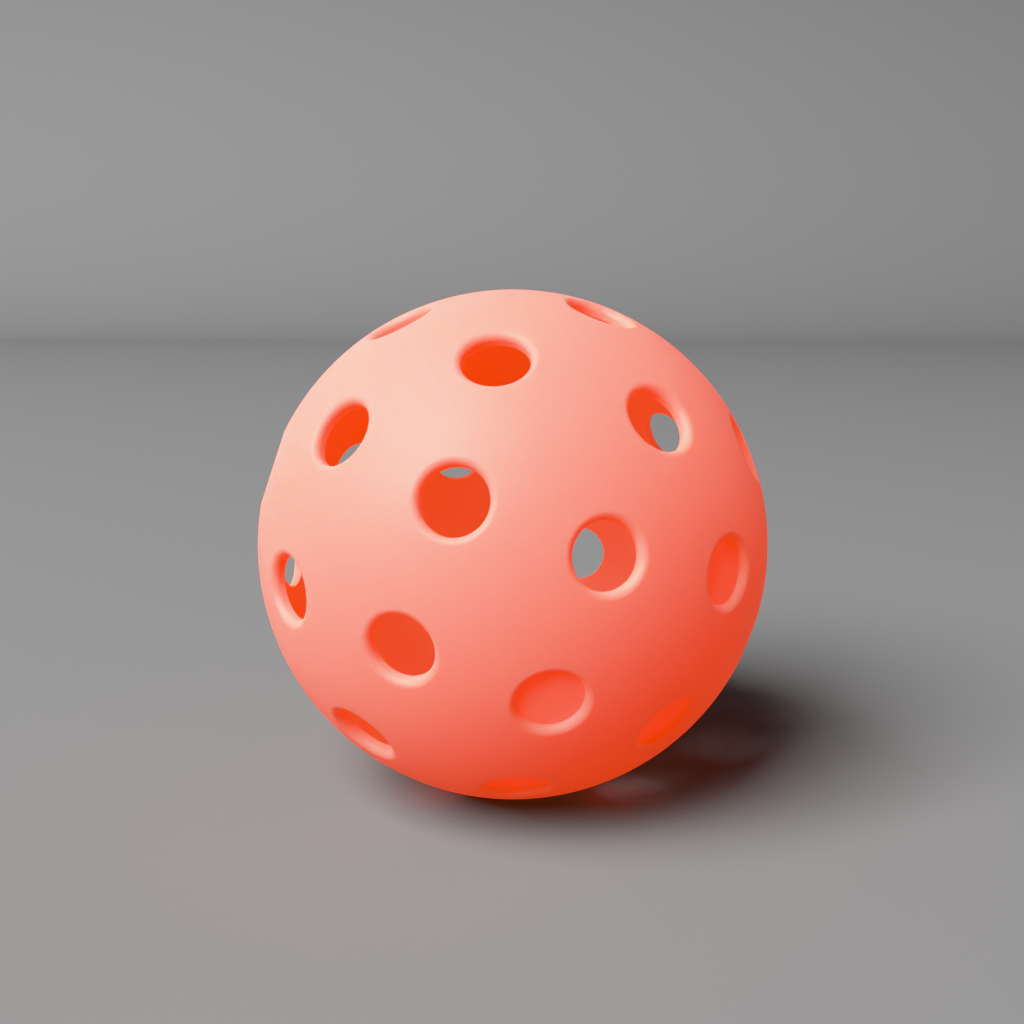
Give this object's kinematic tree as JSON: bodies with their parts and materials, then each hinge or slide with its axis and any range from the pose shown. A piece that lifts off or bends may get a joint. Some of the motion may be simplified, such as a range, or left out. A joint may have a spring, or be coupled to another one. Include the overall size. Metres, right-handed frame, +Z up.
{
  "type": "pickleball ball",
  "caption": "Hollow moulded plastic ball for outdoor paddle play, pierced all over by small round holes with rounded rims.",
  "frame": {"origin": "centre of the ball", "axes": "+Y through the poles of the two halves, towards the rear half; +Z up in the pictured pose"},
  "size_m": [0.074, 0.074, 0.074],
  "materials": {
    "shell_plastic": "satin",
    "weld_plastic": "satin"
  },
  "bodies": {
    "root": {"front_half_shell": "shell_plastic", "rear_half_shell": "shell_plastic", "weld_bead": "weld_plastic"}
  },
  "joints": []
}
